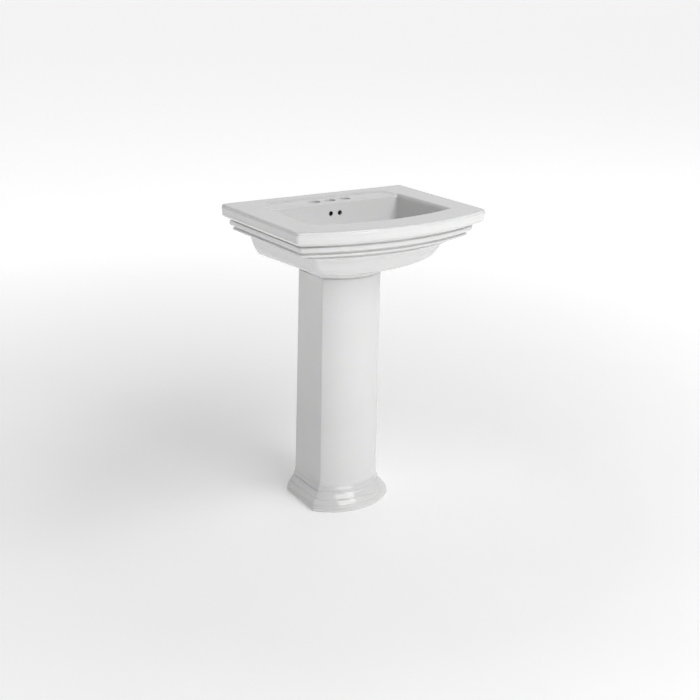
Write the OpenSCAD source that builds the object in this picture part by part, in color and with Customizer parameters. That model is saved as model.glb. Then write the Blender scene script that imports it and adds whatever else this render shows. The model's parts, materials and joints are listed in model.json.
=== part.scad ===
// Pedestal sink: a rectangular basin with a bowed front on a hollow moulded pedestal,
// with its push-button waste, trap and wall fixings.
// +Z is up, the floor is z = 0, x = 0 is the plane of symmetry and the front looks along -Y.
// Depths are measured forward from the wall face, which lies at y = wall_y.

/* [Basin] */
// Height of the flat deck above the floor
deck_z = 889; // [820:1:920]
// Width over the moulded rim
rim_w = 610; // [580:1:640]
// Depth of the rim at its side corners
rim_side_depth = 407; // [390:1:420]
// How far the front of the rim bows out beyond its corners
rim_bow = 63; // [40:1:80]
// How far the tap ledge behind the bowl lies below the deck
ledge_drop = 4; // [2:0.5:5]
// Thickness of the china walls
china_t = 11; // [9:1:13]

/* [Holes in the basin] */
// Distance between the outer tap holes
tap_spacing = 101.6; // [96:0.1:110]
// Diameter of each tap hole
tap_d = 33; // [30:0.5:34]
// Depth of the tap holes from the wall
tap_depth = 79; // [77:1:81]
// Diameter of each overflow hole
overflow_d = 13.5; // [8:0.5:14]
// Distance between the overflow holes
overflow_spacing = 29.5; // [28:0.5:36]
// Depth of the drain from the wall
drain_depth = 185; // [180:1:190]
// Diameter of the drain hole
drain_hole_d = 44.5; // [44:0.5:46]

/* [Pedestal] */
// Width of the shaft at its front corners
shaft_w = 196; // [190:1:206]
// Height of the pedestal
pedestal_h = 696; // [694:1:697]

/* [Waste and trap] */
// Outside diameter of the waste tubes
tube_d = 31.75; // [31:0.05:32]
// Height of the trap arm above the floor
arm_z = 505; // [480:1:520]

/* [Wall fixings] */
// Distance between the two wall studs
stud_spacing = 280; // [240:1:300]
// Diameter of the studs
stud_d = 10; // [8:0.5:12]
// How far the studs and the trap arm reach into the wall
wall_reach = 38; // [30:1:50]

/* [Hidden] */

$fn = 64;
bow_steps = 12;
eps = 0.01;

rim_depth = rim_side_depth + rim_bow;
wall_y = (rim_depth - wall_reach) / 2;

// Rim moulding as [inset from the widest line, drop below the deck]
rim_moulding = [[6, 0], [1.8, -2.5], [0, -8], [0, -20], [3.5, -29], [6, -34], [11, -40], [17, -45],
                [23, -47], [27, -52], [30, -59], [33, -61], [36, -66], [44, -73]];

// Bowl below the moulding as
// [drop, rear half width, front half width, corner depth, bow, corner radius]
bowl_outside = [[-85, 246, 241, 351, 56, 14], [-95, 229, 222, 344, 52, 16],
                [-103, 214, 206, 338, 48, 18], [-112, 211, 203, 335, 48, 20],
                [-130, 204, 195, 326, 47, 28], [-147, 195, 182, 309, 46, 38],
                [-158, 184, 164, 286, 45, 44], [-167, 160, 140, 252, 44, 44],
                [-176, 130, 118, 224, 43, 30], [-190, 104, 104, 208, 43, 12]];

// Hollow between the bowl and the outside, in the same form as bowl_outside
casting_hollow = [[-17, 289, 288, 388, 60, 10], [-24, 290, 290, 390, 60, 10],
                  [-42, 277, 277, 379, 58, 10], [-57, 262, 262, 366, 56, 12],
                  [-70, 246, 246, 352, 54, 12], [-82, 226, 220, 340, 50, 14],
                  [-95, 205, 196, 328, 46, 16], [-112, 200, 191, 322, 46, 18],
                  [-129, 193, 184, 314, 45, 24], [-144, 185, 170, 296, 44, 32],
                  [-154, 171, 152, 272, 43, 36], [-163, 146, 128, 240, 42, 36],
                  [-173, 110, 98, 203, 42, 24], [-191, 84, 84, 187, 42, 8]];

rear_box_w = 352;
rear_box_depth = 128;
apron_drop = 158;
back_t = china_t + 1;
deck_t = 17;
below_all = 200;

// Sunk ledge for the tap, and its rounded step up to the deck as
// [share of the rise, outset at the rear]; the step is longer at the sides
ledge_rear = 48;
ledge_half_rear = 184;
ledge_half_front = 204;
ledge_step = [[0, 0], [0.12, 2], [0.65, 5.2], [0.95, 8], [1, 10.5], [1.5, 10.5]];
ledge_side_rear = 2.6;
ledge_side_front = 1.4;

// Overflow duct behind the bowl, which ends just in front of the tap holes
overflow_drop = 36;
overflow_w = 52;
overflow_back = tap_depth + tap_d / 2 + 0.1;
duct_wall = 4;
duct_side = 8;
duct_roof = 23;
channel_w = 30;
channel_h = 12;

// Inside of the bowl as
// [drop, rear half width, rear depth, front half width, corner depth, bow, corner radius]
bowl_inside = [[-154, 34, 152, 34, 216, 5, 20], [-151, 90, 142, 90, 232, 26, 36],
               [-146, 142, 136, 138, 262, 33, 46], [-138, 170, 131, 163, 287, 34, 42],
               [-125, 187, 126, 180, 304, 35, 34], [-105, 199, 121, 193, 318, 36, 24],
               [-75, 207, 116, 204, 328, 37, 16], [-40, 211, 112.5, 213, 336, 38, 10],
               [-9, 213.5, 110.5, 221, 343, 39, 6], [-6, 214.5, 108.5, 222, 344, 39, 6.5],
               [-4, 215.5, 104.5, 223, 345, 39, 7], [-1, 219.5, 103, 227, 348, 39, 9],
               [1, 222.5, 102, 230, 351, 39, 10]];
inside_rear_r = 6;

// Pedestal foot as [outset from the shaft, height above the floor]
foot_moulding = [[31, 0], [33, 3], [33, 15], [31.5, 19], [29, 20.5], [28.5, 23], [24, 27.5],
                 [19, 33], [15, 40], [12.5, 46], [10.5, 49], [7, 51], [6.5, 55], [4.5, 62],
                 [2, 72], [0.5, 82], [0, 92]];
shaft_corner_depth = 203.5;
shaft_bow = 41;
shaft_rear_foot = 62;
shaft_rear_top = 73;
pedestal_wall = 12;
lip_w = 26;
bridge_z = 60;
foot_plate = [44, 104, 16];
floor_bolt_spacing = 120;
floor_bolt_depth = 84;
floor_bolt_r = 6;
pad_w = 24;
pad_depth = 9;
foot_hollow = [[33, -1], [33, 22], [22, 32], [10, 54], [2, 80], [0, 92]];

// Drain, from the floor of the bowl down
seat_z = deck_z - 157;
boss_r = 38;
boss_bottom = seat_z - 41;
flange_r = 31;
seal_t = 1.5;
flange_t = 1.8;
body_r = 19.8;
throat_r = 16.5;
body_bottom = boss_bottom - 34;
gasket_h = 12;
washer_t = 2;
drain_nut_h = 10;
cap_r = 28;
cap_z = seat_z + 4;
stem_r = 4;
stem_bottom = seat_z - 40;
guide_r = 8;
guide_top = seat_z - 20;
guide_bottom = seat_z - 52;
spring_bottom = guide_bottom + 2;
spring_turns = 5;
spring_wire = 0.45;
running_gap = 0.05;
thread_pitch = 1.5;

// Trap
tube_r = tube_d / 2;
tube_wall = 1.3;
bend_r = 32;
thread_r = 19;
arm_leg_top = arm_z - bend_r;
outlet_top = arm_z - 50;
bend_z = outlet_top - 40;
inlet_top = arm_z + 15;
trap_depth = drain_depth - bend_r;
outlet_depth = drain_depth - 2 * bend_r;
socket = 25;
slip_nut_r = 24.5;
slip_nut_h = 18;
slip_washer_h = 5;
plug_r = 7;
plug_boss_r = 11;
plug_boss_bottom = bend_z - bend_r - tube_r - 8;

// Wall fixings
stud_z = deck_z - 75;
stud_hole_r = 7;
rubber_t = 2.5;
stud_reach = 42;

// ---- outlines and lofts ----

function arc(cx, cy, r, from, to, n) =
    [for (i = [0 : n]) let (a = from + (to - from) * i / n) [cx + r * cos(a), cy + r * sin(a)]];

// Plan outline with a straight back, straight sides, rounded corners and a bowed front.
// It runs from the back left corner round the front to the back right corner.
function outline(rear_w, rear_d, rear_r, front_w, corner_d, bow, r) =
    let (big = (front_w * front_w + bow * bow) / (2 * bow),
         cy = big - corner_d - bow,
         fx = front_w - r,
         fy = cy - sqrt((big - r) * (big - r) - fx * fx),
         a = atan2(cy - fy, fx))
    concat(arc(-rear_w + rear_r, -rear_d - rear_r, rear_r, 90, 180, 4),
           arc(-fx, fy, r, 180, 180 + a, 5),
           [for (i = [1 : bow_steps - 1]) let (b = 180 + a + (180 - 2 * a) * i / bow_steps)
               [big * cos(b), cy + big * sin(b)]],
           arc(fx, fy, r, -a, 0, 5),
           arc(rear_w - rear_r, -rear_d - rear_r, rear_r, 0, 90, 4));

function at_z(points, z) = [for (p = points) [p[0], p[1], z]];

// Closed solid through rings of equal length, listed from the bottom up
module loft(rings) {
    n = len(rings[0]);
    m = len(rings);
    sides = [for (i = [0 : m - 2], j = [0 : n - 1])
        let (a = i * n + j, b = i * n + (j + 1) % n, c = b + n, d = a + n) [a, d, c, b]];
    bottom = [for (j = [0 : n - 1]) j];
    top = [for (j = [n - 1 : -1 : 0]) (m - 1) * n + j];
    polyhedron(points = [for (ring = rings) each ring], faces = concat([bottom], sides, [top]));
}

function reversed(list) = [for (i = [len(list) - 1 : -1 : 0]) list[i]];

module from_wall() {
    translate([0, wall_y, 0]) children();
}

// A child drawn along +Z is laid along -Y, so that its z is its depth from the wall
module out_of_wall(x, z) {
    translate([x, 0, z]) rotate([90, 0, 0]) children();
}

module at_drain() {
    translate([0, wall_y - drain_depth, 0]) children();
}

module ring(outer, inner, z0, z1) {
    difference() {
        translate([0, 0, z0]) cylinder(r = outer, h = z1 - z0);
        translate([0, 0, z0 - 1]) cylinder(r = inner, h = z1 - z0 + 2);
    }
}

module hex_nut(flats, bore_r, h) {
    difference() {
        intersection() {
            cylinder(d = flats / cos(30), h = h, $fn = 6);
            cylinder(r1 = flats / 2 + h / 2, r2 = flats / 2 + 0.6, h = h);
        }
        translate([0, 0, -1]) cylinder(r = bore_r, h = h + 2);
    }
}

// ---- basin ----

function bowl_ring(row) =
    at_z(outline(row[1], 0, 6, row[2], row[3], row[4], row[5]), deck_z + row[0]);

function rim_ring(inset, drop) =
    at_z(outline(rim_w / 2 - inset, 0, 6, rim_w / 2 - inset, rim_side_depth - inset,
                 rim_bow - 0.12 * inset, 12), deck_z + drop);

function inside_ring(row, grow) =
    at_z(outline(row[1] + grow, row[2] - grow, inside_rear_r + grow, row[3] + grow, row[4] + grow,
                 row[5], row[6] + grow), deck_z + row[0]);

module basin_outside() {
    loft(concat([for (row = reversed(bowl_outside)) bowl_ring(row)],
                [for (row = reversed(rim_moulding)) rim_ring(row[0], row[1])]));
}

// The tap ledge runs into the bowl at its front
module tap_ledge() {
    loft([for (row = ledge_step)
        at_z(outline(ledge_half_rear + ledge_side_rear * row[1], ledge_rear - row[1], 12,
                     ledge_half_front + ledge_side_front * row[1], 118, 2, 4),
             deck_z - ledge_drop * (1 - row[0]))]);
}

module casting_cavity() {
    loft([for (row = reversed(casting_hollow))
        at_z(outline(row[1], back_t, 6, row[2], row[3], row[4], row[5]), deck_z + row[0])]);
    translate([-rear_box_w / 2, -rear_box_depth, deck_z - below_all])
        cube([rear_box_w, rear_box_depth - back_t, below_all - deck_t]);
}

// Behind the bowl the sides and the back stop at one level, and the casting is open below
module rear_cut() {
    translate([-rim_w / 2, -rear_box_depth, deck_z - below_all])
        cube([rim_w, rear_box_depth + 1, below_all - apron_drop]);
}

module bowl_block() {
    loft(concat([inside_ring([-154 - china_t, 40, 150, 40, 220, 8, 20], 0)],
                [for (row = bowl_inside) inside_ring(row, china_t - 1)]));
}

module drain_boss_and_duct() {
    w = overflow_w + 2 * duct_side;
    translate([0, -drain_depth, boss_bottom]) cylinder(r = boss_r, h = 40);
    translate([-w / 2, -112, boss_bottom])
        cube([w, 112 - overflow_back, deck_z - duct_roof - boss_bottom]);
    translate([-w / 2, -drain_depth, boss_bottom]) cube([w, drain_depth - overflow_back, 30]);
}

// The duct follows the slope of the bowl's rear wall and ends in a channel to the drain
module overflow_duct_inside() {
    bottom = boss_bottom + 8;
    back = -overflow_back - duct_wall;
    translate([-overflow_w / 2, 0, 0]) rotate([90, 0, 90]) linear_extrude(overflow_w)
        polygon([[back, bottom], [back, deck_z - 27], [-106, deck_z - 27], [-107, deck_z - 40],
                 [-110, deck_z - 75], [-112, deck_z - 105], [-112, bottom]]);
    translate([-channel_w / 2, -drain_depth, bottom]) cube([channel_w, drain_depth + back, channel_h]);
}

module basin() {
    color("white") from_wall() difference() {
        union() {
            difference() {
                basin_outside();
                rear_cut();
                difference() {
                    casting_cavity();
                    bowl_block();
                }
            }
            drain_boss_and_duct();
        }
        tap_ledge();
        loft([for (row = bowl_inside) inside_ring(row, 0)]);
        translate([0, -drain_depth, seat_z]) cylinder(r = flange_r + 2.5, h = 8);
        translate([0, -drain_depth, boss_bottom - 20]) cylinder(d = drain_hole_d, h = 80);
        overflow_duct_inside();
        for (x = [-1, 0, 1])
            translate([x * tap_spacing / 2, -tap_depth, deck_z - deck_t - 2])
                cylinder(d = tap_d, h = deck_t + 4);
        for (side = [-1, 1]) {
            out_of_wall(side * overflow_spacing / 2, deck_z - overflow_drop)
                translate([0, 0, 103]) cylinder(d = overflow_d, h = 25);
            out_of_wall(side * stud_spacing / 2, stud_z)
                translate([0, 0, -1]) cylinder(r = stud_hole_r, h = back_t + 3);
        }
    }
}

// ---- pedestal ----

function pedestal_ring(outset, z, inset = 0) =
    let (up = max(0, (z - 92) / (pedestal_h - 92)),
         half = shaft_w / 2 + 1 - up,
         rear = shaft_rear_foot + up * (shaft_rear_top - shaft_rear_foot) - 0.36 * outset)
    at_z(outline(half - inset + 0.72 * outset, rear + inset, 4,
                 half - inset + outset, shaft_corner_depth - inset + 0.44 * outset,
                 shaft_bow + 0.62 * outset, 6 + 0.25 * outset), z);

module pedestal() {
    half = shaft_w / 2;
    color("white") from_wall() difference() {
        loft(concat([for (row = foot_moulding) pedestal_ring(row[0], row[1])],
                    [pedestal_ring(0, pedestal_h - 4), pedestal_ring(-2, pedestal_h)]));
        difference() {
            loft(concat([for (row = foot_hollow) pedestal_ring(row[0], row[1], pedestal_wall)],
                        [pedestal_ring(0, pedestal_h + 2, pedestal_wall)]));
            translate([-120, -foot_plate[1], 0])
                cube([240, foot_plate[1] - foot_plate[0], foot_plate[2]]);
        }
        // the back is open between two lips, above a low bridge
        translate([-half + lip_w, -92, bridge_z]) cube([2 * (half - lip_w), 60, pedestal_h]);
        for (side = [-1, 1]) translate([side * floor_bolt_spacing / 2, -floor_bolt_depth, -1])
            cylinder(r = floor_bolt_r, h = 30);
    }
}
module pedestal_pads() {
    pad_h = deck_z - 190 - pedestal_h;
    color("dimgray") from_wall() {
        translate([-pad_w / 2, -shaft_corner_depth - shaft_bow + 3, pedestal_h])
            cube([pad_w, pad_depth - 2, pad_h]);
        for (side = [-1, 1], depth = [145, 185])
            translate([side * (shaft_w / 2 - 6.5) - pad_depth / 4, -depth - pad_w / 2, pedestal_h])
                cube([pad_depth / 2, pad_w, pad_h]);
    }
}

// ---- waste ----

// Thread drawn as rings, from the bottom up
function thread_points(r, z0, turns, pitch) =
    [for (i = [0 : turns - 1]) each [[r - 0.6, z0 + i * pitch], [r, z0 + (i + 0.5) * pitch]]];

module drain_body() {
    turns = floor((seat_z - 32 - body_bottom) / thread_pitch);
    flange_top = seat_z + seal_t + flange_t;
    ledge_z = flange_top - 0.8;
    color("gainsboro") at_drain() difference() {
        rotate_extrude() polygon(concat([[throat_r, body_bottom]],
            thread_points(body_r, body_bottom, turns, thread_pitch),
            [[body_r - 0.6, body_bottom + turns * thread_pitch], [body_r, seat_z - 31],
             [body_r, seat_z + seal_t], [flange_r, seat_z + seal_t],
             [flange_r, seat_z + seal_t + 1], [flange_r - 2, flange_top], [23, flange_top],
             [22.5, ledge_z], [throat_r + 1.2, ledge_z], [throat_r, ledge_z - 1.2]]));
        for (a = [0, 180]) rotate([0, 0, a]) translate([-9, 10, boss_bottom + 9]) cube([18, 14, 9]);
    }
}

module flange_seal() {
    color("beige") at_drain() ring(flange_r - 1.5, drain_hole_d / 2 + 0.4, seat_z, seat_z + seal_t);
}

module drain_gasket() {
    color("black") at_drain() rotate_extrude() polygon([
        [body_r, boss_bottom - gasket_h], [33, boss_bottom - gasket_h], [33, boss_bottom - 6],
        [28, boss_bottom], [body_r, boss_bottom]]);
}

module drain_washer() {
    color("white") at_drain()
        ring(33, body_r + 0.2, boss_bottom - gasket_h - washer_t, boss_bottom - gasket_h);
}

module drain_nut() {
    color("goldenrod") at_drain()
        translate([0, 0, boss_bottom - gasket_h - washer_t - drain_nut_h])
            hex_nut(58, body_r, drain_nut_h);
}

module stopper_cap() {
    color("gainsboro") at_drain() rotate_extrude() polygon(concat(
        [[0, cap_z], [cap_r - 1, cap_z], [cap_r, cap_z + 0.8]],
        [for (a = [10 : 10 : 80]) [cap_r * cos(a), cap_z + 1 + 4.5 * sin(a)]],
        [[0, cap_z + 5.5]]));
}

module stopper_seal() {
    color("black") at_drain() ring(22, 17.5, cap_z - 1.1, cap_z);
}

module stopper_stem() {
    color("silver") at_drain() {
        translate([0, 0, stem_bottom]) cylinder(r = stem_r, h = cap_z - stem_bottom);
        translate([0, 0, cap_z - 5]) cylinder(r = 9, h = 5);
    }
}

module stopper_guide() {
    bore = stem_r + running_gap;
    color("whitesmoke") at_drain() difference() {
        union() {
            translate([0, 0, guide_bottom]) cylinder(r = guide_r, h = guide_top - guide_bottom);
            intersection() {
                for (a = [0, 60, 120]) rotate([0, 0, a])
                    translate([-throat_r - 1, -1, guide_bottom + 4]) cube([2 * throat_r + 2, 2, 16]);
                translate([0, 0, guide_bottom]) cylinder(r = throat_r, h = 40);
            }
        }
        translate([0, 0, spring_bottom]) cylinder(r = bore, h = 60);
    }
}

module stopper_spring() {
    coil_r = stem_r - 0.9;
    sides = 6;
    rise = stem_bottom - spring_bottom - 2 * spring_wire;
    steps = 12 * spring_turns;
    rings = [for (i = [0 : steps]) let (a = 360 * spring_turns * i / steps)
        [for (j = [0 : sides - 1]) let (b = -360 * j / sides, r = coil_r + spring_wire * cos(b))
            [r * cos(a), r * sin(a), spring_bottom + spring_wire + rise * i / steps
                                     + spring_wire * sin(b)]]];
    color("silver") at_drain() loft(reversed(rings));
}

module tailpiece() {
    top = body_bottom + 13;
    shoulder = body_bottom - 2;
    color("gainsboro") at_drain() difference() {
        union() {
            translate([0, 0, shoulder]) cylinder(r = throat_r, h = top - shoulder);
            translate([0, 0, shoulder - 3]) cylinder(r = thread_r, h = 3);
            translate([0, 0, inlet_top - socket]) cylinder(r = tube_r, h = shoulder - inlet_top + socket);
        }
        translate([0, 0, inlet_top - socket - 1]) cylinder(r = tube_r - tube_wall, h = 300);
    }
}

module tailpiece_seal() {
    color("black") at_drain() ring(body_r - 0.8, throat_r, body_bottom - 2, body_bottom);
}

// ---- trap ----

// Quarter ring of tube in the YZ plane, centred on the origin
module elbow() {
    rotate([90, 0, 90]) rotate_extrude(angle = 90) translate([bend_r, 0]) difference() {
        circle(r = tube_r);
        circle(r = tube_r - tube_wall);
    }
}

module slip_nut(h) {
    difference() {
        union() {
            intersection() {
                cylinder(r = slip_nut_r, h = h - 4, $fn = 8);
                cylinder(r1 = slip_nut_r - 1, r2 = slip_nut_r + 4, h = h - 4);
            }
            translate([0, 0, h - 4 - eps]) cylinder(r1 = slip_nut_r - 3, r2 = slip_nut_r - 5, h = 4);
        }
        translate([0, 0, -1]) cylinder(r = thread_r, h = h - 2);
        translate([0, 0, -1]) cylinder(r = tube_r + 0.3, h = h + 2);
    }
}

module slip_washer() {
    rotate_extrude() polygon([[tube_r, 0], [thread_r - 1.4, 0], [thread_r - 0.2, 2.5],
                              [thread_r - 0.2, slip_washer_h], [tube_r, slip_washer_h]]);
}

// A leg of the J bend: a tube that widens into a threaded socket
module leg(depth, top) {
    shoulder = top - socket - 3;
    translate([0, -depth, bend_z]) cylinder(r = tube_r, h = shoulder - bend_z + 1);
    translate([0, -depth, shoulder]) cylinder(r = thread_r, h = top - shoulder);
}

module leg_bore(depth, top) {
    translate([0, -depth, bend_z]) cylinder(r = tube_r - tube_wall, h = top - bend_z + 1);
    translate([0, -depth, top - socket]) cylinder(r = tube_r, h = socket + 1);
}

module trap_bend() {
    color("gainsboro") from_wall() difference() {
        union() {
            translate([0, -trap_depth, bend_z]) rotate([180, 0, 0]) half_ring(tube_r);
            leg(drain_depth, inlet_top);
            leg(outlet_depth, outlet_top);
            translate([0, -trap_depth, plug_boss_bottom])
                cylinder(r = plug_boss_r, h = bend_z - bend_r - tube_r + 4 - plug_boss_bottom);
        }
        translate([0, -trap_depth, bend_z]) rotate([180, 0, 0]) half_ring(tube_r - tube_wall);
        leg_bore(drain_depth, inlet_top);
        leg_bore(outlet_depth, outlet_top);
        translate([0, -trap_depth, plug_boss_bottom - 1]) cylinder(r = plug_r, h = 24);
    }
}

module half_ring(r) {
    rotate([90, 0, 90]) rotate_extrude(angle = 180) translate([bend_r, 0]) circle(r = r);
}

module tube(h) {
    difference() {
        cylinder(r = tube_r, h = h);
        translate([0, 0, -1]) cylinder(r = tube_r - tube_wall, h = h + 2);
    }
}

module trap_inlet_nut() {
    color("gainsboro") at_drain() translate([0, 0, inlet_top - slip_nut_h + 8]) slip_nut(slip_nut_h);
}

module trap_inlet_washer() {
    color("black") at_drain() translate([0, 0, inlet_top]) slip_washer();
}

module trap_outlet_nut() {
    color("gainsboro") from_wall()
        translate([0, -outlet_depth, outlet_top - slip_nut_h + 8]) slip_nut(slip_nut_h);
}

module trap_outlet_washer() {
    color("black") from_wall() translate([0, -outlet_depth, outlet_top]) slip_washer();
}

module trap_arm() {
    elbow_depth = outlet_depth - bend_r;
    color("gainsboro") from_wall() {
        translate([0, -outlet_depth, outlet_top - socket]) tube(arm_leg_top - outlet_top + socket);
        translate([0, -elbow_depth, arm_leg_top]) mirror([0, 1, 0]) elbow();
        out_of_wall(0, arm_z) difference() {
            translate([0, 0, -wall_reach]) tube(elbow_depth + wall_reach);
            // shallow groove that marks how far the arm goes into the wall
            translate([0, 0, -1.5]) ring(tube_r + 1, tube_r - 0.3, 0, 1.2);
        }
    }
}

module cleanout_plug() {
    color("gainsboro") from_wall() translate([0, -trap_depth, plug_boss_bottom]) {
        translate([0, 0, -1.5]) cylinder(r = plug_r, h = 13);
        translate([0, 0, -8.5]) cylinder(d = 19 / cos(30), h = 7, $fn = 6);
    }
}

module cleanout_washer() {
    color("black") from_wall() translate([0, -trap_depth, 0])
        ring(plug_boss_r - 1, plug_r, plug_boss_bottom - 1.5, plug_boss_bottom);
}

module wall_escutcheon() {
    color("gainsboro") from_wall() out_of_wall(0, arm_z) rotate_extrude() polygon([
        [36, 0], [38, 0], [37.5, 3], [34, 6], [26, 9], [20, 14], [17.8, 16], [tube_r + 0.3, 16],
        [tube_r + 0.3, 14.5], [19, 12], [25, 7.5], [33, 4.5]]);
}

// ---- wall fixings ----

module per_stud() {
    from_wall() for (side = [-1, 1]) out_of_wall(side * stud_spacing / 2, stud_z) children();
}

module wall_studs() {
    color("silver") per_stud() {
        translate([0, 0, -wall_reach]) cylinder(d1 = 2, d2 = stud_d, h = 8);
        translate([0, 0, 8 - wall_reach]) cylinder(d = stud_d, h = wall_reach - 9.5);
        // plain neck between the part in the wall and the part in the room
        translate([0, 0, -1.5]) cylinder(d = stud_d - 0.8, h = 2);
        translate([0, 0, 0.5]) cylinder(d = stud_d, h = stud_reach - 1.5);
        translate([0, 0, stud_reach - 1]) cylinder(d1 = stud_d, d2 = stud_d - 2, h = 1);
    }
}

module wall_rubber_washers() {
    color("dimgray") per_stud() ring(14, stud_d / 2, back_t, back_t + rubber_t);
}

module wall_washers() {
    z0 = back_t + rubber_t;
    color("silver") per_stud() ring(15, stud_d / 2 + 0.3, z0, z0 + washer_t);
}

module wall_nuts() {
    color("silver") per_stud()
        translate([0, 0, back_t + rubber_t + washer_t]) hex_nut(17, stud_d / 2, 8);
}

basin();
pedestal();
pedestal_pads();
drain_body();
flange_seal();
drain_gasket();
drain_washer();
drain_nut();
stopper_cap();
stopper_seal();
stopper_stem();
stopper_guide();
stopper_spring();
tailpiece();
tailpiece_seal();
trap_inlet_nut();
trap_inlet_washer();
trap_bend();
trap_outlet_nut();
trap_outlet_washer();
trap_arm();
cleanout_plug();
cleanout_washer();
wall_escutcheon();
wall_studs();
wall_rubber_washers();
wall_washers();
wall_nuts();
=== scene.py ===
"""Looks of the pedestal sink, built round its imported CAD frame.

Everything is in metres in the frame of the CAD part: +Z is up, the front looks along -Y and the
wall face is the plane through the back of the basin. The tables of the china are in millimetres.
"""

import json
import math

import bmesh
import bpy
from mathutils import Matrix, Vector


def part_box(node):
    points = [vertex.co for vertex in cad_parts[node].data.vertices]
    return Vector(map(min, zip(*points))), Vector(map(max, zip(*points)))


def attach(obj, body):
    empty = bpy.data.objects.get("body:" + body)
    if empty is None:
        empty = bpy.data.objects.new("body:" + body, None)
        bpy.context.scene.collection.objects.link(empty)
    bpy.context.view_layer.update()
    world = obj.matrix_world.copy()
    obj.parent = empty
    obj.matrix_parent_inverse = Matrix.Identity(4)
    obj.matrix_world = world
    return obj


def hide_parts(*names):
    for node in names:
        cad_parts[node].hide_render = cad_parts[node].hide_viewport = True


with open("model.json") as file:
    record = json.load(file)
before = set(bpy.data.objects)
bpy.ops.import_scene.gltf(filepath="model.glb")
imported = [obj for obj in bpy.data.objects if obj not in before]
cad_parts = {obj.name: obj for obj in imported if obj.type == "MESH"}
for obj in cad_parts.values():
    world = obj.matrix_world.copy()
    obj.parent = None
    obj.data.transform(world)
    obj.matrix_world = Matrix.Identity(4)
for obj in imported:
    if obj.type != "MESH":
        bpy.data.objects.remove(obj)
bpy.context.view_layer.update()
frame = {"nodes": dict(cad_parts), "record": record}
MM = 0.001

BASIN_LOW, BASIN_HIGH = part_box("basin")
WALL_Y = BASIN_HIGH.y
DECK_Z = BASIN_HIGH.z / MM
RIM_HALF = BASIN_HIGH.x / MM
RIM_BOW = 63.0
RIM_SIDE = (WALL_Y - BASIN_LOW.y) / MM - RIM_BOW
DRAIN_DEPTH = (WALL_Y - sum(v.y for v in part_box("drain_body")) / 2) / MM
BOSS_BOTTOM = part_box("drain_gasket")[1].z / MM
STUD_Z = sum(v.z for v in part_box("wall_studs")) / 2 / MM
SHAFT_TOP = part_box("pedestal")[1].z / MM


# ---------------------------------------------------------------- camera


def toward(azimuth, elevation):
    """Unit vector, with the azimuth counted in degrees from the front to the right."""
    a, e = math.radians(azimuth), math.radians(elevation)
    return Vector((math.sin(a) * math.cos(e), -math.cos(a) * math.cos(e), math.sin(e)))


def add_camera():
    """Camera at the front left, a little above the rim, with a slight roll."""
    back = toward(-33.74, 18.46)
    target, distance, roll = Vector((-0.0493, -0.0574, 0.500)), 3.3723, math.radians(1.15)
    level = Vector((0, 0, 1)).cross(back).normalized()
    rise = back.cross(level)
    right = level * math.cos(roll) + rise * math.sin(roll)
    up = rise * math.cos(roll) - level * math.sin(roll)
    data = bpy.data.cameras.new("camera")
    data.lens, data.sensor_width = 62.10, 36.0
    data.clip_start, data.clip_end = 0.05, 200.0
    camera = bpy.data.objects.new("camera", data)
    bpy.context.scene.collection.objects.link(camera)
    pose = Matrix((right, up, back)).transposed().to_4x4()
    pose.translation = target + back * distance
    camera.matrix_world = pose
    bpy.context.scene.camera = camera


add_camera()


# ---------------------------------------------------------------- mesh helpers


def new_object(name, verts, faces):
    mesh = bpy.data.meshes.new(name)
    mesh.from_pydata([tuple(v) for v in verts], [], faces)
    mesh.validate()
    mesh.update()
    obj = bpy.data.objects.new(name, mesh)
    bpy.context.scene.collection.objects.link(obj)
    return obj


def face_outward(obj):
    bm = bmesh.new()
    bm.from_mesh(obj.data)
    bmesh.ops.recalc_face_normals(bm, faces=bm.faces)
    bm.to_mesh(obj.data)
    bm.free()
    return obj


def to_world(x, depth, z):
    """Millimetres, with depth measured forward from the wall, into the frame."""
    return Vector((x * MM, WALL_Y - depth * MM, z * MM))


def loft(name, rings):
    """Closed solid through rings of equal length."""
    n, m = len(rings[0]), len(rings)
    verts = [to_world(*p) for ring in rings for p in ring]
    faces = [(i * n + j, i * n + (j + 1) % n, (i + 1) * n + (j + 1) % n, (i + 1) * n + j)
             for i in range(m - 1) for j in range(n)]
    faces += [tuple(range(n)), tuple(range((m - 1) * n, m * n))]
    return face_outward(new_object(name, verts, faces))


def revolve(name, profile, centre, axis="z", steps=96, tilt=0.0):
    """Solid turned from (radius, height) points about an axis through centre (x, depth, z)."""
    verts, faces, rings = [], [], []
    base = to_world(*centre)
    turn = {"z": Matrix.Identity(3), "front": Matrix.Rotation(math.pi / 2 + tilt, 3, "X")}[axis]
    for r, h in profile:
        if r < 1e-6:
            rings.append([len(verts)])
            verts.append(base + turn @ Vector((0, 0, h * MM)))
            continue
        rings.append(list(range(len(verts), len(verts) + steps)))
        for k in range(steps):
            a = 2 * math.pi * k / steps
            verts.append(base + turn @ Vector((r * math.cos(a), r * math.sin(a), h)) * MM)
    for lower, upper in zip(rings, rings[1:]):
        for k in range(steps):
            a, b = lower[k % len(lower)], lower[(k + 1) % len(lower)]
            c, d = upper[(k + 1) % len(upper)], upper[k % len(upper)]
            corners = [a] + [v for v in (b, c, d) if v != a]
            face = tuple(dict.fromkeys(corners))
            if len(face) > 2:
                faces.append(face)
    return face_outward(new_object(name, verts, faces))


def block(name, x0, x1, d0, d1, z0, z1):
    ring = [(x0, d0), (x1, d0), (x1, d1), (x0, d1)]
    return loft(name, [[(x, d, z) for x, d in ring] for z in (z0, z1)])


def combine(base, other, operation):
    """Boolean of two closed solids; the second is used up."""
    modifier = base.modifiers.new("cut", "BOOLEAN")
    modifier.solver = "MANIFOLD"
    modifier.operation = operation
    modifier.material_mode = "TRANSFER"
    modifier.object = other
    apply_modifiers(base)
    bpy.data.objects.remove(other)
    return base


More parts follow.
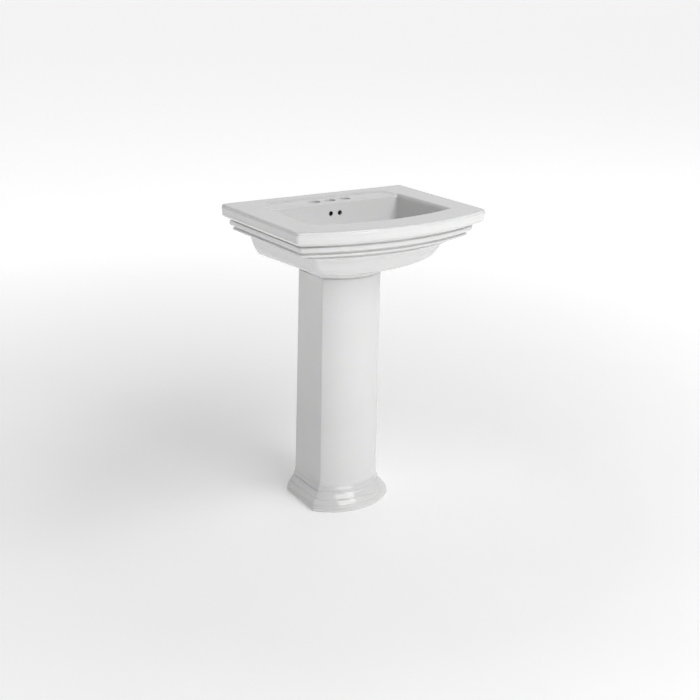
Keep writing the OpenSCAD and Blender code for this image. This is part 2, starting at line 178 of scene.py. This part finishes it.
def coat(obj, material):
    obj.data.materials.clear()
    obj.data.materials.append(material)
    return obj


def apply_modifiers(obj):
    graph = bpy.context.evaluated_depsgraph_get()
    mesh = bpy.data.meshes.new_from_object(obj.evaluated_get(graph))
    obj.modifiers.clear()
    old, obj.data = obj.data, mesh
    bpy.data.meshes.remove(old)
    return obj


def soften(obj, voxel, passes):
    """Remesh a solid on a grid and relax it, so that all of its edges come out rounded."""
    remesh = obj.modifiers.new("remesh", "REMESH")
    remesh.mode, remesh.voxel_size = "VOXEL", voxel * MM
    relax = obj.modifiers.new("relax", "SMOOTH")
    relax.factor, relax.iterations = 0.5, passes
    return apply_modifiers(obj)


def finish_china(obj):
    """Merge doubled points, dissolve empty faces and shade smooth between sharp edges.

    Known fault: the slivers that the booleans leave inside the wall are not removed.
    """
    merge = 0.002 * MM
    bm = bmesh.new()
    bm.from_mesh(obj.data)
    bmesh.ops.remove_doubles(bm, verts=bm.verts, dist=merge)
    bmesh.ops.dissolve_degenerate(bm, edges=bm.edges, dist=merge)
    bm.to_mesh(obj.data)
    bm.free()
    for polygon in obj.data.polygons:
        polygon.use_smooth = True
    obj.data.set_sharp_from_angle(angle=math.radians(38))
    weigh = obj.modifiers.new("weigh", "WEIGHTED_NORMAL")
    weigh.keep_sharp, weigh.weight = True, 80
    return obj


# ---------------------------------------------------------------- materials


class Nodes:
    """Short way to write a node material."""

    def __init__(self, name):
        self.material = bpy.data.materials.new(name)
        self.material.use_nodes = True
        self.tree = self.material.node_tree
        self.shader = self.tree.nodes["Principled BSDF"]
        self.where = self.add("ShaderNodeTexCoord").outputs["Object"]

    def add(self, kind, **inputs):
        node = self.tree.nodes.new(kind)
        for key, value in inputs.items():
            socket = node.inputs[key.replace("_", " ")]
            if isinstance(value, bpy.types.NodeSocket):
                self.tree.links.new(value, socket)
            else:
                socket.default_value = value
        return node

    def noise(self, scale, detail=2.0, roughness=0.5, where=None):
        node = self.add("ShaderNodeTexNoise", Vector=where or self.where, Scale=scale,
                        Detail=detail, Roughness=roughness)
        return node.outputs["Fac"]

    def ramp(self, value, low, high, start=0.3, end=0.7):
        node = self.add("ShaderNodeValToRGB", Fac=value)
        for element, position, colour in zip(node.color_ramp.elements, (start, end), (low, high)):
            element.position, element.color = position, (*colour, 1.0)
        return node.outputs["Color"]

    def span(self, value, low, high, start=0.3, end=0.7):
        node = self.add("ShaderNodeMapRange", Value=value)
        for key, number in (("From Min", start), ("From Max", end), ("To Min", low), ("To Max", high)):
            node.inputs[key].default_value = number
        return node.outputs["Result"]

    def bump(self, height, distance, strength=1.0, below=None):
        node = self.add("ShaderNodeBump", Height=height, Distance=distance, Strength=strength)
        if below is not None:
            self.tree.links.new(below, node.inputs["Normal"])
        return node.outputs["Normal"]

    def set(self, **inputs):
        for key, value in inputs.items():
            socket = self.shader.inputs[key.replace("_", " ")]
            if isinstance(value, bpy.types.NodeSocket):
                self.tree.links.new(value, socket)
            else:
                socket.default_value = value


def glaze():
    m = Nodes("china_glaze")
    patches = m.noise(5.0, 3.0, 0.55)
    m.set(Base_Color=m.ramp(patches, (0.785, 0.785, 0.782), (0.815, 0.815, 0.812)),
          Roughness=m.span(m.noise(38.0, 3.0), 0.07, 0.13),
          IOR=1.52, Coat_Weight=0.15, Coat_Roughness=0.03)
    waves = m.bump(m.noise(16.0, 1.0, 0.4), 0.00022)
    m.set(Normal=m.bump(m.noise(420.0, 2.0), 0.000012, below=waves))
    return m.material


def bisque():
    m = Nodes("china_bisque")
    m.set(Base_Color=m.ramp(m.noise(14.0, 4.0, 0.6), (0.66, 0.645, 0.61), (0.75, 0.74, 0.715)),
          Roughness=m.span(m.noise(90.0, 3.0), 0.45, 0.7), IOR=1.45)
    m.set(Normal=m.bump(m.noise(260.0, 4.0, 0.6), 0.00012))
    return m.material


def painted_duct_shade():
    """Inside of the overflow duct, which no light reaches: a near black painted shade, not the colour
    of the china.
    """
    m = Nodes("painted_duct_shade")
    m.set(Base_Color=m.ramp(m.noise(20.0, 3.0), (0.03, 0.03, 0.03), (0.06, 0.06, 0.058)),
          Roughness=m.span(m.noise(60.0, 3.0), 0.5, 0.7), IOR=1.45)
    m.set(Normal=m.bump(m.noise(200.0, 3.0), 0.00005))
    return m.material


def metal(name, low, high, rough, grain=900.0, depth=0.000008):
    m = Nodes(name)
    m.set(Base_Color=m.ramp(m.noise(30.0, 4.0, 0.6), low, high), Metallic=1.0,
          Roughness=m.span(m.noise(110.0, 4.0, 0.6), *rough))
    m.set(Normal=m.bump(m.noise(grain, 3.0), depth))
    return m.material


def soft_plastic(name, low, high, rough, scale=60.0, depth=0.00003):
    m = Nodes(name)
    m.set(Base_Color=m.ramp(m.noise(scale, 4.0, 0.6), low, high),
          Roughness=m.span(m.noise(scale * 3, 3.0), *rough), IOR=1.5)
    m.set(Normal=m.bump(m.noise(scale * 14, 3.0), depth))
    return m.material


# Material of each slot of the record
MATERIALS = {
    "china": glaze(),
    "chrome": metal("chrome_plate", (0.78, 0.79, 0.80), (0.86, 0.87, 0.88), (0.05, 0.11)),
    "black_rubber": soft_plastic("black_rubber", (0.022, 0.022, 0.024), (0.045, 0.045, 0.048),
                                 (0.55, 0.75)),
    "grey_rubber": soft_plastic("grey_rubber", (0.16, 0.16, 0.16), (0.22, 0.22, 0.215), (0.6, 0.8)),
    "pale_seal": soft_plastic("pale_seal", (0.62, 0.57, 0.46), (0.72, 0.68, 0.57), (0.5, 0.7)),
    "white_plastic": soft_plastic("white_plastic", (0.76, 0.76, 0.74), (0.82, 0.82, 0.80),
                                  (0.32, 0.45)),
    "brass": metal("brass", (0.62, 0.44, 0.17), (0.74, 0.55, 0.25), (0.22, 0.38)),
    "zinc_steel": metal("zinc_steel", (0.50, 0.51, 0.52), (0.64, 0.65, 0.66), (0.26, 0.44)),
    "spring_steel": metal("spring_steel", (0.40, 0.40, 0.41), (0.52, 0.52, 0.53), (0.25, 0.4)),
}
# Materials of the faces that cuts leave inside the china: bare bisque, and a near black painted shade
# for the inside of the overflow duct
BISQUE = bisque()
DUCT_PAINTED_SHADE = painted_duct_shade()

for row in frame["record"]["subparts"]:
    coat(frame["nodes"][row["node"]], MATERIALS[row["material_slot"]])


# ---------------------------------------------------------------- china outlines


def quarter_turn(steps):
    """Angles of a quarter turn, without its start."""
    return [math.pi / 2 * k / steps for k in range(1, steps + 1)]


def arc(cx, cy, r, start, end, n):
    return [(cx + r * math.cos(start + (end - start) * i / n),
             cy + r * math.sin(start + (end - start) * i / n)) for i in range(n + 1)]


def outline(rear_w, rear_d, rear_r, front_w, corner_d, bow, r, z, bow_steps=72, corner_steps=10):
    """Plan outline in (x, depth): straight back and sides, rounded corners and a bowed front."""
    # the bow's radius and centre, then the right-hand corner's centre
    big = (front_w ** 2 + bow ** 2) / (2 * bow)
    cy = big - corner_d - bow
    fx = front_w - r
    fy = cy - math.sqrt((big - r) ** 2 - fx ** 2)
    a = math.atan2(cy - fy, fx)
    pi = math.pi
    points = arc(-rear_w + rear_r, -rear_d - rear_r, rear_r, pi / 2, pi, 6)
    points += arc(-fx, fy, r, pi, pi + a, corner_steps)
    for i in range(1, bow_steps):
        b = pi + a + (pi - 2 * a) * i / bow_steps
        points.append((big * math.cos(b), cy + big * math.sin(b)))
    points += arc(fx, fy, r, -a, 0, corner_steps)
    points += arc(rear_w - rear_r, -rear_d - rear_r, rear_r, 0, pi / 2, 6)
    return [(x, -y, z) for x, y in points]


def rounded(rows, cuts, steps=5, plane=(0, 1)):
    """Rows of numbers as a path with its corners rounded off.

    Each corner is cut by up to its own length on both sides, measured over the two columns in
    plane, and never by more than half of a side.
    """
    def gap(p, q):
        return math.hypot(*(p[k] - q[k] for k in plane))

    def mix(p, q, t):
        return tuple(u + (v - u) * t for u, v in zip(p, q))

    out = [tuple(rows[0])]
    for before, row, after, cut in zip(rows, rows[1:], rows[2:], cuts[1:]):
        one, two = gap(before, row), gap(row, after)
        length = min(cut, one / 2, two / 2)
        if length < 0.05:
            out.append(tuple(row))
            continue
        start, end = mix(row, before, length / one), mix(row, after, length / two)
        for i in range(steps + 1):
            t = i / steps
            out.append(mix(mix(start, row, t), mix(row, end, t), t))
    out.append(tuple(rows[-1]))
    return out


# ---------------------------------------------------------------- basin

# Rim moulding, from the deck down: inset, drop, rounding
RIM_MOULDING = [(5.5, 0, 2.5), (1.6, -1.8, 1.6), (0.9, -5, 0.8), (1.5, -6.4, 0.5), (0, -8, 1),
                (0.1, -11, 2), (1.0, -17, 4), (1.8, -23, 3), (1.3, -28.2, 1), (2.2, -30.4, 1),
                (6, -34.2, 3), (11.5, -38.4, 3), (18, -41.2, 1), (27, -41.8, 0.8), (30.4, -43.4, 0.8),
                (30.4, -46.4, 0.8), (25, -48.4, 0.5), (24.4, -50, 1), (24.2, -57.6, 1),
                (26, -60.4, 1.2), (31, -63.2, 1), (36, -64, 0.8), (40.4, -65.6, 0.8),
                (40.4, -68.2, 0.8), (34.8, -70.2, 0.5), (34.2, -71.6, 0.8), (34.2, -73.8, 1),
                (36, -76, 1), (44, -77.6, 1)]

# Bowl below it:
# drop, rear half width, front half width, corner depth, bow, corner radius, rounding
BOWL_OUTSIDE = [(-78.6, 246, 242.5, 352, 56, 13, 1), (-80.4, 237, 233, 345.5, 55.5, 13, 1),
                (-87, 233.5, 228.5, 343, 55, 14, 1), (-89.6, 238.6, 233.2, 347.2, 55, 14, 0.6),
                (-95, 229, 222, 344, 52, 16, 6),
                (-103, 214, 206, 338, 48, 18, 3), (-112, 211, 203, 335, 48, 20, 8),
                (-130, 204, 195, 326, 47, 28, 12), (-147, 195, 182, 309, 46, 38, 12),
                (-158, 184, 164, 286, 45, 44, 12), (-167, 160, 140, 252, 44, 44, 12),
                (-176, 130, 118, 224, 43, 30, 12), (-190, 104, 104, 208, 43, 12, 0)]

# Inside of the bowl, from the deck down:
# drop, rear half width, rear depth, front half width, corner depth, bow, corner radius, rounding
BOWL_INSIDE = [(0, 222.5, 102.4, 230, 351, 39, 10, 0), (-0.6, 219.5, 103, 226.5, 348, 39, 9, 2),
               (-3.9, 216, 103.6, 223.4, 345.2, 39, 7, 1), (-4.6, 215.5, 107, 223, 344.9, 39, 6.8, 1),
               (-6.2, 214.8, 109.4, 222.3, 344.3, 39, 6.5, 1.5),
               (-9, 213.5, 110.5, 221, 343, 39, 6, 3), (-40, 211, 112.5, 213, 336, 38, 10, 12),
               (-75, 207, 116, 204, 328, 37, 16, 16), (-105, 199, 121, 193, 318, 36, 24, 16),
               (-125, 187, 126, 180, 304, 35, 34, 14), (-138, 170, 131, 163, 287, 34, 42, 14),
               (-146, 142, 136, 138, 262, 33, 46, 14), (-151, 90, 142, 90, 232, 26, 36, 14),
               (-154, 34, 152, 34, 216, 5, 20, 0)]
INSIDE_REAR_R = 6.0

# Sunk ledge with the tap holes, and its step up to the deck: share of the rise, outset
LEDGE_DROP = 4.0
LEDGE_Z = DECK_Z - LEDGE_DROP
LEDGE_STEP = [(0, 0), (0.02, 0.9), (0.09, 1.9), (0.24, 3.1), (0.5, 4.5), (0.76, 5.9),
              (0.91, 7.1), (0.98, 8.6), (1, 10.5), (1.5, 10.5)]

# Hollow of the casting between the two:
# drop, rear half width, front half width, corner depth, bow, corner radius
# Known fault: the row at -42 is wider than the bottom of the upper quirk, so the wall is cut there
CASTING_HOLLOW = [(-17, 289, 289, 388, 60, 10), (-24, 290, 290, 390, 60, 10),
                  (-42, 277, 277, 379, 58, 10), (-57, 262, 262, 366, 56, 12),
                  (-70, 246, 246, 352, 54, 12), (-82, 226, 220, 340, 50, 14),
                  (-95, 205, 196, 328, 46, 16), (-112, 200, 191, 322, 46, 18),
                  (-129, 193, 184, 314, 45, 24), (-144, 185, 170, 296, 44, 32),
                  (-154, 171, 152, 272, 43, 36), (-163, 146, 128, 240, 42, 36),
                  (-173, 110, 98, 203, 42, 24), (-200, 84, 84, 187, 42, 8)]

# Walls of the casting, and the flat apron at its back
CHINA = 11.0
BACK_T = 12.0
DECK_T = 17.0
APRON_DROP = 158.0
APRON_DEPTH = 128.0
APRON_HALF = 176.0
BELOW_BASIN = DECK_Z - 210

# Tap holes
TAP_DEPTH = 79.0
TAP_R = 16.5
TAP_SPACING = 50.8

# Drain hole, its boss, and the duct that brings the overflow water to it
DRAIN_R = 22.25
RECESS_R = 33.5
BOSS_R = 38.0
SEAT_Z = BOSS_BOTTOM + 41
DUCT_BACK = TAP_DEPTH + TAP_R + 0.1
DUCT_FRONT = 114.0
DUCT_HALF = 34.0
DUCT_ROOF = 23.0
DUCT_WALL = 4.0
DUCT_FLOOR = BOSS_BOTTOM + 8

# Overflow holes, square to the rear wall of the bowl
OVERFLOW_R = 6.75
OVERFLOW_X = 14.75
OVERFLOW_DEPTH = 112.3
OVERFLOW_DROP = 36.0
OVERFLOW_TILT = math.radians(-4.1)

# Holes for the wall studs
STUD_X = 140.0
STUD_R = 7.0


def outer_rows():
    rows, cuts = [], []
    for inset, drop, cut in RIM_MOULDING:
        rows.append((drop, RIM_HALF - inset, RIM_HALF - inset, RIM_SIDE - inset,
                     RIM_BOW - 0.12 * inset, 12))
        cuts.append(cut)
    for row in BOWL_OUTSIDE:
        rows.append(row[:6])
        cuts.append(row[6])
    return rounded(rows, cuts, plane=(0, 2))


def bowl_ring(row, rear_d=0.0, rear_r=6.0):
    drop, rear_w, front_w, corner_d, bow, r = row[:6]
    return outline(rear_w, rear_d, rear_r, front_w, corner_d, bow, r, DECK_Z + drop)


def inside_ring(row, grow=0.0):
    drop, rear_w, rear_d, front_w, corner_d, bow, r = row[:7]
    return outline(rear_w + grow, rear_d - grow, INSIDE_REAR_R + grow, front_w + grow,
                   corner_d + grow, bow, r + grow, DECK_Z + drop)


def drum(r, bottom, top):
    """Profile of a plain cylinder."""
    return [(0, bottom), (r, bottom), (r, top), (0, top)]


def basin_core():
    """The hollow of the casting, with soft corners: what lies between the shell and the bowl."""
    core = loft("core", [bowl_ring(row, rear_d=BACK_T) for row in CASTING_HOLLOW])
    combine(core, block("rear_box", -APRON_HALF, APRON_HALF, BACK_T, APRON_DEPTH,
                        BELOW_BASIN, DECK_Z - DECK_T), "UNION")
    under_floor = (BOWL_INSIDE[-1][0] - CHINA, 40, 150, 40, 220, 8, 20)
    above_deck = (4,) + BOWL_INSIDE[0][1:7]
    keep = [under_floor] + [row[:7] for row in reversed(BOWL_INSIDE[1:])] + [above_deck]
    solids = [
        loft("bowl_block", [inside_ring(row, CHINA - 1) for row in keep]),
        revolve("boss", drum(BOSS_R, BOSS_BOTTOM, BOSS_BOTTOM + 45), (0, DRAIN_DEPTH, 0)),
        block("duct", -DUCT_HALF, DUCT_HALF, DUCT_BACK, DUCT_FRONT, BOSS_BOTTOM, DECK_Z - DUCT_ROOF),
        block("channel", -DUCT_HALF, DUCT_HALF, DUCT_BACK, DRAIN_DEPTH, BOSS_BOTTOM,
              BOSS_BOTTOM + 32),
    ]
    for solid in solids:
        combine(core, solid, "DIFFERENCE")
    return coat(soften(core, 3.0, 8), BISQUE)


def round_lip_hole(r, lip, top, bottom):
    """Profile of a hole cutter whose upper edge flares with a rounded lip."""
    points = [(0, top + 6), (r + lip, top + 6), (r + lip, top + 0.03)]
    points += [(r + lip - lip * math.sin(t), top + 0.03 - lip * (1 - math.cos(t)))
               for t in quarter_turn(6)]
    return points + [(r, bottom), (0, bottom)]


def drain_and_tap_holes():
    at_drain = (0, DRAIN_DEPTH, 0)
    cutters = [revolve("recess", round_lip_hole(RECESS_R, 2.5, SEAT_Z + 3, SEAT_Z), at_drain),
               revolve("drain", drum(DRAIN_R, BOSS_BOTTOM - 9, SEAT_Z + 2), at_drain)]
    for x in (-TAP_SPACING, 0, TAP_SPACING):
        cutters.append(revolve("tap_hole", round_lip_hole(TAP_R, 2.4, LEDGE_Z, DECK_Z - 20),
                               (x, TAP_DEPTH, 0)))
    return cutters


def overflow_duct():
    """Upright duct behind the bowl and the channel from its foot to the drain hole."""
    back, roof, half = DUCT_BACK + DUCT_WALL, DECK_Z - DUCT_ROOF - DUCT_WALL, 26
    inside = [(back, DUCT_FLOOR), (back, roof), (106, roof), (107, DECK_Z - 40),
              (110, DECK_Z - 75), (112, DECK_Z - 105), (112, DUCT_FLOOR)]
    upright = loft("duct_inside", [[(x, d, z) for d, z in inside] for x in (-half, half)])
    channel = block("channel_inside", -15, 15, back, DRAIN_DEPTH, DUCT_FLOOR, DUCT_FLOOR + 12)
    # The faces inside the duct get a near black painted shade, standing in for the deep shadow there
    return [coat(upright, DUCT_PAINTED_SHADE), coat(channel, DUCT_PAINTED_SHADE)]


def overflow_and_stud_holes():
    stud_hole = [(0, -2), (STUD_R + 1.5, -2), (STUD_R, 0.8), (STUD_R, BACK_T + 3), (0, BACK_T + 3)]
    cutters = []
    for side in (-1, 1):
        hole = revolve("overflow", round_lip_hole(OVERFLOW_R, 1.0, 0, -12),
                       (side * OVERFLOW_X, OVERFLOW_DEPTH, DECK_Z - OVERFLOW_DROP),
                       axis="front", steps=48, tilt=OVERFLOW_TILT)
        cutters.append(coat(hole, MATERIALS["china"]))
        cutters.append(revolve("stud_hole", stud_hole, (side * STUD_X, 0, STUD_Z),
                               axis="front", steps=48))
    return cutters


def tap_ledge():
    """Cutter for the sunk ledge behind the bowl, with a soft step up to the deck."""
    return loft("tap_ledge", [outline(184 + 2.6 * out, 48 - out, 12, 204 + 1.4 * out, 118, 2, 4,
                                      LEDGE_Z + LEDGE_DROP * rise) for rise, out in LEDGE_STEP])


def shell_ring(row):
    """Ring of the outside, with the top edge at the back eased."""
    ease = 1.6 * max(0.0, 1 + row[0] / 2.5) ** 2
    return bowl_ring(row, rear_d=ease)


def make_basin():
    shell = [shell_ring(row) for row in outer_rows()]
    inner = rounded([row[:7] for row in BOWL_INSIDE], [row[7] for row in BOWL_INSIDE], plane=(0, 3))
    rings = list(reversed(shell)) + [inside_ring(row) for row in inner]
    basin = coat(loft("basin_china", rings), MATERIALS["china"])
    rear_cut = block("rear_cut", -RIM_HALF - 5, RIM_HALF + 5, -5, APRON_DEPTH,
                     BELOW_BASIN, DECK_Z - APRON_DROP)
    cutters = [coat(rear_cut, BISQUE), basin_core(), tap_ledge()]
    cutters += drain_and_tap_holes() + overflow_duct() + overflow_and_stud_holes()
    for cutter in cutters:
        combine(basin, cutter, "DIFFERENCE")
    return finish_china(basin)


# ---------------------------------------------------------------- pedestal

# Foot moulding, from the floor up: outset from the shaft, height, rounding
FOOT_MOULDING = [(31, 0, 0), (33, 2.2, 1.6), (33, 9.4, 0.8), (31.2, 10.3, 0.5), (31.2, 11.8, 0.5),
                 (32.6, 12.8, 0.8), (32, 17.2, 0.8), (29.8, 18.2, 0.5), (29.6, 19.8, 0.5),
                 (30.6, 20.8, 1), (28, 26.4, 2), (24.8, 32, 1.5), (23, 33.8, 0.6),
                 (20.4, 34.6, 0.5), (20, 36.4, 0.5), (20.2, 37.4, 0.8), (16.6, 42.6, 2),
                 (12.6, 48.2, 1.6), (9.8, 51.4, 0.8), (6, 52.2, 0.5), (5.6, 54.4, 0.6),
                 (6.6, 57.5, 1), (6.6, 61, 1), (4.6, 64.2, 1.5), (2.6, 68.5, 2), (1.2, 75, 3),
                 (0.3, 84, 4), (0, 92, 4)]
FOOT_TOP = FOOT_MOULDING[-1][1]

# Hollow of the foot: outset, height, rounding
FOOT_HOLLOW = [(33, -1, 0), (33, 22, 5), (22, 32, 8), (10, 54, 8), (2, 80, 8), (0, 92, 0)]

# Shaft: half width, depth of its corners, bow, depth of its rear at the foot and at the top
SHAFT_HALF = 98.0
SHAFT_CORNER = 203.5
SHAFT_BOW = 41.0
SHAFT_REAR = (62.0, 73.0)
SHAFT_WALL = 12.0
TOP_ARRIS = 5.0

# Open back between two lips, above the bridge of the foot
LIP_W = 26.0
BRIDGE_Z = 60.0
FLARE = 4.0

# Plate with the floor screw holes
PLATE_T = 16.0
SCREW_X = 60.0
SCREW_DEPTH = 84.0
SCREW_R = 6.0


def share_up(z):
    """0 at the top of the foot and below, 1 at the top of the shaft."""
    return max(0.0, (z - FOOT_TOP) / (SHAFT_TOP - FOOT_TOP))


def shaft_rear(z):
    return SHAFT_REAR[0] + share_up(z) * (SHAFT_REAR[1] - SHAFT_REAR[0])


def shaft_ring(outset, z, inset=0.0):
    """Outline of the pedestal, which widens less to the front and rear than to the sides."""
    half = SHAFT_HALF + 1 - share_up(z)
    rear = shaft_rear(z) - 0.36 * outset
    return outline(half - inset + 0.72 * outset, rear + inset, 4, half - inset + outset,
                   SHAFT_CORNER - inset + 0.44 * outset, SHAFT_BOW + 0.62 * outset,
                   6 + 0.12 * outset + 0.4 * inset, z, bow_steps=56)


def back_opening():
    """Cutter for the open back of the shaft, flared where it meets the rear face."""
    half = SHAFT_HALF - LIP_W
    rings = []
    for z in (BRIDGE_Z, 100, 300, 500, SHAFT_TOP + 10):
        face = shaft_rear(z)
        side = [(half + FLARE, face - 30), (half + FLARE, face - 0.05)]
        side += [(half + FLARE - FLARE * math.sin(t), face - 0.05 + FLARE * (1 - math.cos(t)))
                 for t in quarter_turn(6)]
        side.append((half, 92))
        rings.append([(x, d, z) for x, d in side] + [(-x, d, z) for x, d in reversed(side)])
    return loft("back_opening", rings)


def make_pedestal():
    foot = rounded([row[:2] for row in FOOT_MOULDING], [row[2] for row in FOOT_MOULDING])
    top = SHAFT_TOP - TOP_ARRIS
    rings = [shaft_ring(outset, z) for outset, z in foot]
    rings += [shaft_ring(0, z) for z in (200, 320, 440, 560, top)]
    rings += [shaft_ring(-TOP_ARRIS + TOP_ARRIS * math.cos(t), top + TOP_ARRIS * math.sin(t))
              for t in quarter_turn(5)]
    pedestal = coat(loft("pedestal_china", rings), MATERIALS["china"])
    inside = rounded([row[:2] for row in FOOT_HOLLOW], [row[2] for row in FOOT_HOLLOW])
    inside.append((0, SHAFT_TOP + 4))
    hollow = loft("hollow", [shaft_ring(outset, z, SHAFT_WALL) for outset, z in inside])
    combine(hollow, block("plate", -125, 125, 44, 104, -2, PLATE_T), "DIFFERENCE")
    cutters = [coat(hollow, BISQUE), back_opening()]
    cutters += [revolve("screw_hole", round_lip_hole(SCREW_R, 1.2, PLATE_T, -3),
                        (side * SCREW_X, SCREW_DEPTH, 0), steps=48) for side in (-1, 1)]
    for cutter in cutters:
        combine(pedestal, cutter, "DIFFERENCE")
    return finish_china(pedestal)


def hand_over(obj, node):
    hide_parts(node)
    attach(obj, "sink")


hand_over(make_basin(), "basin")
hand_over(make_pedestal(), "pedestal")


# ---------------------------------------------------------------- stage


def add_floor(glow_near, glow_far):
    """Pale studio floor that glows a little, more so far away, as a lit sweep does."""
    half, near, far = 60.0, 0.8, 3.5
    corners = [(-half, -half, 0), (half, -half, 0), (half, half, 0), (-half, half, 0)]
    floor = new_object("floor", corners, [(0, 1, 2, 3)])
    m = Nodes("pale_floor")
    reach = m.add("ShaderNodeVectorMath")
    reach.operation = "LENGTH"
    m.tree.links.new(m.where, reach.inputs[0])
    m.set(Base_Color=m.ramp(m.noise(3.0, 3.0), (0.90, 0.90, 0.90), (0.92, 0.92, 0.92)),
          Roughness=0.6, Emission_Color=(1.0, 1.0, 1.0, 1.0),
          Emission_Strength=m.span(reach.outputs["Value"], glow_near, glow_far, near, far))
    floor.data.materials.append(m.material)


def add_panel(name, azimuth, elevation, size, glow, distance=7.0):
    """Soft box that faces the object; glow is its brightness against white."""
    data = bpy.data.lights.new(name, "AREA")
    data.shape, data.size, data.size_y = "RECTANGLE", size[0], size[1]
    data.energy = glow * math.pi * size[0] * size[1]
    light = bpy.data.objects.new(name, data)
    bpy.context.scene.collection.objects.link(light)
    light.location = Vector((0, 0, 0.65)) + toward(azimuth, elevation) * distance
    light.rotation_mode = "QUATERNION"
    light.rotation_quaternion = toward(azimuth, elevation).to_track_quat("Z", "Y")


def add_world(dim, bright, azimuth):
    """Studio walls: bright behind the object, dim on the other side."""
    world = bpy.data.worlds.new("studio")
    bpy.context.scene.world = world
    world.use_nodes = True
    nodes, links = world.node_tree.nodes, world.node_tree.links
    nodes["Background"].inputs["Color"].default_value = (1.0, 1.0, 1.0, 1.0)
    where = nodes.new("ShaderNodeTexCoord")
    along = nodes.new("ShaderNodeVectorMath")
    along.operation = "DOT_PRODUCT"
    along.inputs[1].default_value = toward(azimuth, 0)
    span = nodes.new("ShaderNodeMapRange")
    for key, number in (("From Min", 0.15), ("From Max", 0.6), ("To Min", dim), ("To Max", bright)):
        span.inputs[key].default_value = number
    links.new(where.outputs["Generated"], along.inputs[0])
    links.new(along.outputs["Value"], span.inputs["Value"])
    links.new(span.outputs["Result"], nodes["Background"].inputs["Strength"])


# Soft boxes: azimuth, elevation, width, height, brightness against white
PANELS = {"front": (4, 34, 4.6, 3.9, 3.7), "front_low": (0, 9, 4.6, 1.8, 0.7),
          "key": (40, 52, 4.6, 3.3, 2.9), "left": (-125, 14, 5.2, 2.8, 0.45)}

add_floor(0.2, 0.6)
add_world(0.06, 0.78, 165)
for name, (azimuth, elevation, width, height, glow) in PANELS.items():
    add_panel(name, azimuth, elevation, (width, height), glow)
bpy.context.scene.view_settings.view_transform = "Standard"
